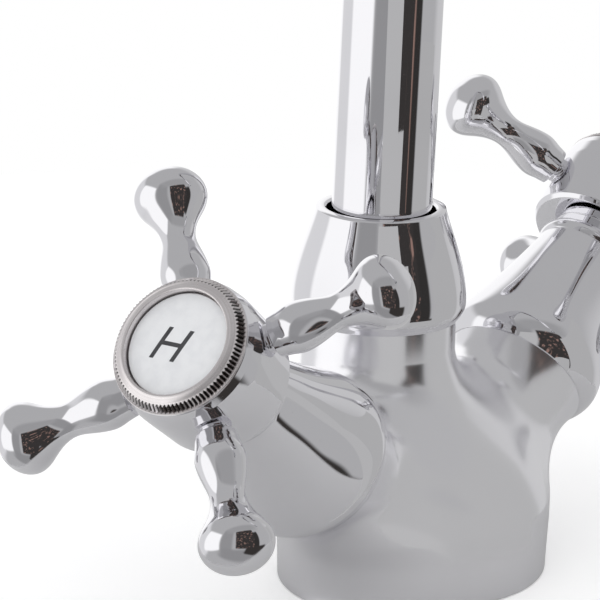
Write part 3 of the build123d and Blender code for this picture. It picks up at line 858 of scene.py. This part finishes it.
# ---------------- shroud and handle
@dataclass
class Shroud:
    """The bell over a valve."""

    foot: float = 46.8
    foot_radius: float = 15.2
    lip: tuple[Point, ...] = ((16.3, 48.8), (16.9, 51.0), (16.4, 55.0))
    side: tuple[Point, ...] = ((14.6, 61.0), (12.7, 67.5), (11.1, 74.0))
    hollow_foot: float = 55.0
    neck: float = 79.4
    neck_radius: float = 9.9
    bead_radius: float = 10.3
    bead_height: float = 2.8
    mouth_radius: float = 6.9
    roof: float = 2.0
    wall: float = 1.7

    def outline(self) -> Outline:
        """Rolled lip, drawn-in sides and a bead at the top."""
        low, neck = self.neck + 0.2, self.neck_radius
        top, inner_foot = low + self.bead_height, self.foot_radius - self.wall
        outline = Outline(closed=True)
        outline.curve([(self.foot_radius, self.foot), *self.lip, *self.side, (neck, self.neck)], (0.6, 1), (-0.2, 1),
                      12)
        outline.arc((neck, low), (self.bead_radius, low + self.bead_height / 2), (neck, top), 20)
        outline.path((self.mouth_radius, top, 0.2), (self.mouth_radius, top - self.roof, 0.1),
                     (neck - self.wall, top - self.roof, 0.1))
        outline.path(*((radius - self.wall, height) for radius, height in reversed(self.side)))
        return outline.path((inner_foot, self.hollow_foot), (inner_foot, self.foot, 0.1))

    def build(self, casting: Casting, side: Side, finishes: Finishes) -> None:
        """Put one side's bell into the scene."""
        name = side.prefix + "_bell"
        piece(name, turned_mesh(name, self.outline(), 224), casting.arm_place(side), "body", "chrome",
              finishes.turned, side.prefix + "_valve_shroud")


@dataclass
class Handle:
    """A cross handle: hub, four spokes, knurled cap ring and porcelain disc."""

    hub_back: float = 85.2
    hub_back_radius: float = 13.9
    hub_bevel: float = 0.8
    hub_belly: Point = (14.12, 91.8)
    hub_widest: Point = (14.3, 98.5)
    hub_shoulder: Point = (14.05, 101.0)
    hub_front: float = 102.8
    hub_front_radius: float = 13.6
    hub_neck_radius: float = 8.4
    hub_neck_reach: float = 2.2
    web_high: float = 96.0
    pocket_radius: float = 8.6
    cap_bore: float = 98.8
    cap_bore_radius: float = 11.0
    cap_back: float = 102.9
    cap_flange: float = 0.3
    cap_flange_radius: float = 13.6
    cap_sleeve: float = 99.0
    cap_sleeve_radius: float = 10.9
    cap_inner_radius: float = 8.8
    knurl_low_radius: float = 13.45
    knurl_high_radius: float = 12.6
    knurl_top: float = 104.7
    knurl_depth: float = 0.5
    knurl_teeth: int = 96
    cap_crown: Point = (11.5, 105.02)
    cap_face: float = 105.3
    cap_mouth_radius: float = 10.4
    disc_radius: float = 10.2
    disc_low: float = 102.5
    disc_edge: float = 103.8
    disc_crown: float = 104.4
    letter_size: float = 9.5
    letter_shear: float = 0.3
    ink_height: float = 0.012
    spoke_height: float = 93.9
    spoke_count: int = 4
    spoke_root: tuple[Point | Triple, ...] = ((0, 12.6), (2.8, 12.6), (2.8, 14.9, 0.2), (3.95, 15.05, 0.2))
    spoke_side: tuple[Point, ...] = (
        (4.2, 16.6), (4.75, 19.4), (4.62, 21.4), (3.95, 24.3), (3.3, 27.4), (3.75, 30.2), (5.3, 33.2), (6.6, 35.4),
        (7.0, 37.1), (6.75, 38.6), (5.9, 40.1), (4.6, 41.3), (2.75, 42.2), (0.0, 42.7))

    def hub(self) -> Outline:
        """The tapered barrel with a neck behind it and the threaded bore in front."""
        back, radius, neck, bevel = self.hub_back, self.hub_back_radius, self.hub_neck_radius, self.hub_bevel
        neck_back = back - self.hub_neck_reach
        outline = Outline().path((0, neck_back), (neck, neck_back, 0.4), (neck, back, 0.3),
                                 (radius - bevel, back, 0.5), (radius, back + bevel, 0.5))
        outline.curve([(radius + 0.05, back + 2.2), self.hub_belly, self.hub_widest], (0.03, 1), (0.0, 1), 8)
        return outline.path(
            (*self.hub_shoulder, 0.5), (self.hub_front_radius, self.hub_front, 0.25),
            (self.cap_bore_radius, self.hub_front, 0.1), (self.cap_bore_radius, self.cap_bore, 0.1),
            (self.pocket_radius, self.cap_bore, 0.1), (self.pocket_radius, self.web_high, 0.1), (0, self.web_high))

    def cap(self) -> Outline:
        """The knurled ring."""
        back, flange_top, low, high = (self.cap_back, self.cap_back + self.cap_flange, self.knurl_low_radius,
                                       self.knurl_high_radius)
        inner, sleeve, mouth, top = (self.cap_inner_radius, self.cap_sleeve_radius, self.cap_mouth_radius,
                                     self.knurl_top)
        outline = Outline(closed=True).path(
            (inner, self.cap_sleeve, 0.1), (sleeve, self.cap_sleeve, 0.1), (sleeve, back, 0.1),
            (self.cap_flange_radius, back, 0.12), (self.cap_flange_radius, flange_top, 0.12), (low - 0.45, flange_top),
            (low - 0.04, flange_top + 0.02), (high + 0.06, top - 0.06), (high - 0.42, top))
        outline.curve([(high - 0.6, top + 0.04), self.cap_crown, (mouth + 0.35, self.cap_face - 0.04)],
                      None, (-1, 0.2), 8)
        return outline.path((mouth, self.cap_face - 0.12, 0.15), (mouth, self.disc_low, 0.1),
                            (inner, self.disc_low, 0.1))

    def disc(self) -> Outline:
        """The domed porcelain disc."""
        ball = self.ball_radius()
        outline = Outline().path((0, self.disc_low), (self.disc_radius, self.disc_low, 0.2),
                                 (self.disc_radius, self.disc_edge, 0.3))
        for radius in ((self.disc_radius - 0.4) * (1 - k / 16) for k in range(1, 17)):
            outline.path((radius, self.disc_crown - ball + math.sqrt(ball * ball - radius * radius)))
        return outline

    def ball_radius(self) -> float:
        """Radius of the disc's dome."""
        rise = self.disc_crown - self.disc_edge
        return (self.disc_radius ** 2 + rise ** 2) / (2 * rise)

    def letter(self, side: Side) -> Mesh:
        """A plain letter, laid on the disc's dome."""
        words = bpy.data.curves.new(side.prefix + "_letter", "FONT")
        words.body = "H" if side is Side.HOT else "C"
        words.size, words.shear = self.letter_size * MM, self.letter_shear
        words.align_x, words.align_y = "CENTER", "CENTER"
        words.resolution_u = 6
        maker = bpy.data.objects.new("letter_maker", words)
        bpy.context.scene.collection.objects.link(maker)
        bpy.context.view_layer.update()
        mesh = bpy.data.meshes.new_from_object(maker.evaluated_get(bpy.context.evaluated_depsgraph_get()))
        bpy.data.objects.remove(maker)
        shape = bmesh.new()
        shape.from_mesh(mesh)
        bmesh.ops.triangulate(shape, faces=shape.faces[:])
        bmesh.ops.subdivide_edges(shape, edges=shape.edges[:], cuts=2, use_grid_fill=True)
        ball = self.ball_radius() * MM
        for v in shape.verts:
            v.co.z = ((self.disc_crown + self.ink_height) * MM - ball
                      + math.sqrt(ball ** 2 - v.co.x ** 2 - v.co.y ** 2))
        shape.to_mesh(mesh)
        shape.free()
        mesh.materials.clear()
        return mesh

    def build(self, casting: Casting, side: Side, finishes: Finishes) -> None:
        """Put one side's handle into the scene."""
        place, body, word = casting.arm_place(side), side.handle_body, side.prefix
        teeth = Knurl(self.cap_back + self.cap_flange + 0.01, self.knurl_top - 0.02, self.knurl_depth,
                      self.knurl_teeth)
        for name, outline, around, knurl, slot, node in (
            ("_hub", self.hub(), 224, None, "chrome", "_handle_hub"),
            ("_cap", self.cap(), 0, teeth, "satin_chrome", "_cap_ring"),
            ("_disc", self.disc(), 160, None, "porcelain", "_index_disc"),
        ):
            piece(word + name, turned_mesh(word + name, outline, around, knurl), place, body, slot,
                  finishes.of_slot[slot], word + node)
        turn = Matrix.Rotation(math.radians(-90.0 * side.direction), 4, "Z")
        piece(word + "_disc_letter", self.letter(side), place @ turn, body, "porcelain", finishes.print_ink)
        spoke = Outline().path(*self.spoke_root).curve(self.spoke_side, (0.15, 1), (-1, 0), 12)
        mesh = turned_mesh(word + "_spoke", spoke, 128)
        for i in range(self.spoke_count):
            angle = math.radians(side.turn + 360 / self.spoke_count * i)
            lie = (Matrix.Translation((0, 0, self.spoke_height * MM)) @ Matrix.Rotation(angle, 4, "Z")
                   @ Matrix.Rotation(math.radians(90), 4, "Y"))
            name = f"{word}_spoke_{i + 1}"
            piece(name + "_turned", mesh, place @ lie, body, "chrome", finishes.turned, name)


def dress_inner_pieces(finishes: Finishes) -> None:
    """Give every node of the frame the finish of its material slot; the pieces that stay in view keep it."""
    slots = {row["node"]: row["material_slot"] for row in frame["record"]["subparts"]}
    for name, obj in sorted(frame["nodes"].items()):
        obj.data.materials.clear()
        obj.data.materials.append(finishes.of_slot[slots[name]])
        if not obj.hide_render:
            log.info("%s: kept from the frame, finish %s", name, slots[name])


# ---------------- studio
@dataclass(frozen=True)
class Card:
    """A soft-edged card of the studio, seen only in reflections.

    The directions are degrees: azimuth from +Y towards +X, elevation up from level.
    """

    azimuth: float
    elevation: float
    half_width: float
    half_height: float
    tone: Triple
    edge: float = 0.12

    def share(self, tree: Tree, way: Socket) -> Value:
        """How much of the card is in a direction."""
        a, e = math.radians(self.azimuth), math.radians(self.elevation)
        out = Vector((math.sin(a) * math.cos(e), math.cos(a) * math.cos(e), math.sin(e)))
        side = Vector((math.cos(a), -math.sin(a), 0))

        def along(axis: Vector) -> Value:
            """Part of the direction along an axis."""
            return tree.value("VectorMath", "Value", {"operation": "DOT_PRODUCT"}, {0: way, 1: tuple(axis)})

        ahead = along(out)
        share = ahead.ramp(0.0, 0.05)
        ahead = ahead.at_least(0.01)
        for axis, half in ((side, self.half_width), (side.cross(out), self.half_height)):
            size = math.tan(math.radians(half))
            soft = self.edge * size
            share = share * abs(along(axis) / ahead).ramp(size - soft, size + soft, 1.0, 0.0)
        return share


@dataclass(frozen=True)
class NearCard:
    """An upright grey card near the faucet, seen only in polished metal.

    It is bent round an upright line at the given Y, at a radius of reach, between two azimuths in degrees.
    """

    middle_y: float
    reach: float
    turns: Point
    heights: Point
    tone: float = 0.46


@dataclass
class Studio:
    """A white room with dark and bright cards, a pale floor and the camera."""

    camera_spot: Triple = (-652.025, -398.987, 264.413)
    azimuth: float = 56.741
    pitch: float = 15.362
    roll: float = 1.544
    lens: float = 240.0
    sensor: float = 36.0
    wall_tone: Triple = (0.45, 0.45, 0.455)
    plain_light: Triple = (0.95, 0.95, 0.955)
    cards: tuple[Card, ...] = (
        Card(84, -4, 34, 34, (0.60, 0.60, 0.605), 0.45),
        Card(0, -8, 34, 32, (0.74, 0.74, 0.75), 0.20),
        Card(-52, -2, 29, 29, (1.08, 1.08, 1.08), 0.16),
        Card(40, 2, 18, 30, (1.08, 1.08, 1.08), 0.35),
        Card(-101, 0, 17, 44, (0.31, 0.31, 0.315), 0.30),
        Card(-140, -50, 44, 20, (0.29, 0.29, 0.295), 0.40),
        Card(-150, 52, 40, 14, (0.35, 0.35, 0.355), 0.50),
        Card(-176, -10, 18, 36, (0.034, 0.032, 0.031), 0.14),
        Card(172, -34, 26, 14, (0.040, 0.036, 0.034), 0.20),
    )
    window: Card = Card(-153, 6, 26, 33, (0.042, 0.038, 0.037), 0.09)
    window_specks: Triple = (0.30, 0.19, 0.16)
    floor_radius: float = 340.0
    floor_depth: float = 0.2
    # floor tones that metal mirrors: painted shade, darker toward -Y than toward +Y
    floor_near_tone: float = 0.58
    floor_far_tone: float = 0.66
    floor_fade: Point = (-60.0, 100.0)
    floor_glow: float = 0.22
    floor_mirrored_radius: float = 110.0
    near_cards: tuple[NearCard, ...] = (
        NearCard(0.0, 48.0, (140, 205), (0.0, 34.0)),
        NearCard(0.0, 48.0, (205, 248), (0.0, 78.0), 0.50),
        NearCard(0.0, 95.0, (118, 166), (0.0, 85.0)),
        NearCard(10.0, 19.5, (218, 240), (51.0, 74.0), 0.50),
        NearCard(10.0, 14.0, (219, 240), (74.0, 190.0), 0.50),
    )

    def camera(self) -> None:
        """Set the camera where the photograph was taken from."""
        a, p, r = (math.radians(v) for v in (self.azimuth, self.pitch, self.roll))
        ahead = Vector((math.sin(a) * math.cos(p), math.cos(a) * math.cos(p), -math.sin(p)))
        level = Vector((math.cos(a), -math.sin(a), 0))
        upright = level.cross(ahead)
        right = level * math.cos(r) + upright * math.sin(r)
        top = upright * math.cos(r) - level * math.sin(r)
        data = bpy.data.cameras.new("camera")
        data.lens, data.sensor_width, data.clip_start, data.clip_end = self.lens, self.sensor, 0.05, 30.0
        obj = bpy.data.objects.new("camera", data)
        bpy.context.scene.collection.objects.link(obj)
        turn = Matrix((right, top, -ahead)).transposed().to_4x4()
        obj.matrix_world = Matrix.Translation(Vector(self.camera_spot) * MM) @ turn
        bpy.context.scene.camera = obj

    def world(self) -> None:
        """White to the camera, a room with its cards to polished metal, and plain light to the rest."""
        made = bpy.data.worlds.new("studio")
        made.use_nodes = True
        tree = Tree(made.node_tree)
        way = tree.node("TexCoord").outputs["Generated"]
        tone: Socket | Triple = self.wall_tone
        for card in self.cards:
            tone = tree.blend(card.share(tree, way), tone, card.tone)
        specks = tree.noise(11.0, 3.0, way, 0.6).ramp(0.58, 0.66)
        tone = tree.blend(self.window.share(tree, way), tone,
                          tree.blend(specks, self.window.tone, self.window_specks))
        room, plain, white = (tree.shader("Background", {"Color": light, "Strength": 1.0})
                              for light in (tone, self.plain_light, (1.0, 1.0, 1.0)))
        lit = tree.mixed(tree.ray("Glossy"), plain, room)
        tree.put_out(tree.mixed(tree.ray("Camera"), lit, white), "OutputWorld")
        bpy.context.scene.world = made

    def _stage(self, name: str, points: Sequence[Triple], faces: Sequence[Sequence[int]],
               material: Material) -> None:
        """Put a piece of the studio into the scene, on points in millimetres."""
        mesh = new_mesh(name, points, faces)
        mesh.materials.append(material)
        obj = bpy.data.objects.new(name, mesh)
        bpy.context.scene.collection.objects.link(obj)

    def floor(self) -> None:
        """A pale floor that keeps the faucet's shadow, and that metal mirrors near the faucet only, in a darker
        painted shade.
        """
        material, tree = new_tree("pale_floor")
        seen, mirrored = tree.ray("Camera"), tree.ray("Glossy")
        spot = tree.node("TexCoord").outputs["Object"]
        fade = (v * MM for v in self.floor_fade)
        along = tree.value("SeparateXYZ", "Y", None, {0: spot})
        # Painted shade: what metal mirrors of the floor is darker, darkest toward -Y.
        mirrored_floor_shade = along.ramp(*fade, self.floor_near_tone, self.floor_far_tone)
        grain = tree.noise(30.0, 2.0).ramp(0.2, 0.8, 0.92, 0.94)
        tone = grain * (1.0 - mirrored) + mirrored_floor_shade * mirrored
        colour = tree.node("CombineColor", None, {0: tone, 1: tone, 2: tone}).outputs[0]
        cloth = tree.shader("BsdfDiffuse", {"Color": colour})
        glow = tree.shader("Emission", {"Color": (1.0, 1.0, 1.0), "Strength": seen * self.floor_glow})
        both = tree.shader("AddShader", {0: cloth, 1: glow})
        reach = tree.value("VectorMath", "Value", {"operation": "LENGTH"}, {0: spot})
        edge = self.floor_mirrored_radius * MM
        gone = reach.ramp(edge - 0.01, edge) * mirrored
        tree.put_out(tree.mixed(gone, both, tree.shader("BsdfTransparent")))
        count, around = 12, 96
        turn = math.tau * np.arange(around) / around
        points = [(0.0, 0.0, -self.floor_depth)]
        for reach in self.floor_radius * np.arange(1, count + 1) / count:
            points += list(zip(reach * np.cos(turn), reach * np.sin(turn), np.full(around, -self.floor_depth)))
        rings = [[0] * around, *(1 + np.arange(count * around)).reshape(count, around).tolist()]
        self._stage("floor", points, [face[::-1] for face in ring_faces(rings)], material)

    def near_card(self, name: str, card: NearCard) -> None:
        """Put a near card into the scene."""
        material, tree = new_tree(name)
        clear = tree.shader("BsdfTransparent")
        tone = tree.shader("Emission", {"Color": (card.tone,) * 3, "Strength": 1.0})
        tree.put_out(tree.mixed(tree.ray("Glossy"), clear, tone))
        steps = 32
        points = [(card.reach * math.sin(turn), card.middle_y + card.reach * math.cos(turn), height)
                  for turn in np.radians(np.linspace(*card.turns, steps + 1)) for height in card.heights]
        faces = [(2 * i, 2 * i + 2, 2 * i + 3, 2 * i + 1) for i in range(steps)]
        self._stage(name, points, faces, material)

    def build(self) -> None:
        """Make the camera, the world, the floor and the near cards."""
        bpy.context.scene.view_settings.view_transform = "Standard"
        self.camera()
        self.world()
        self.floor()
        for i, card in enumerate(self.near_cards):
            self.near_card(f"near_card_{i + 1}", card)


def main() -> None:
    """Build the faucet, dress it and set up the studio."""
    logging.basicConfig(level=logging.INFO, format="%(name)s: %(message)s", stream=sys.stdout)
    finishes = Finishes()
    casting = Casting()
    casting.build(finishes)
    Spout().build(finishes)
    for side in Side:
        Shroud().build(casting, side, finishes)
        Handle().build(casting, side, finishes)
    dress_inner_pieces(finishes)
    Studio().build()


if __name__ == "__main__":
    main()
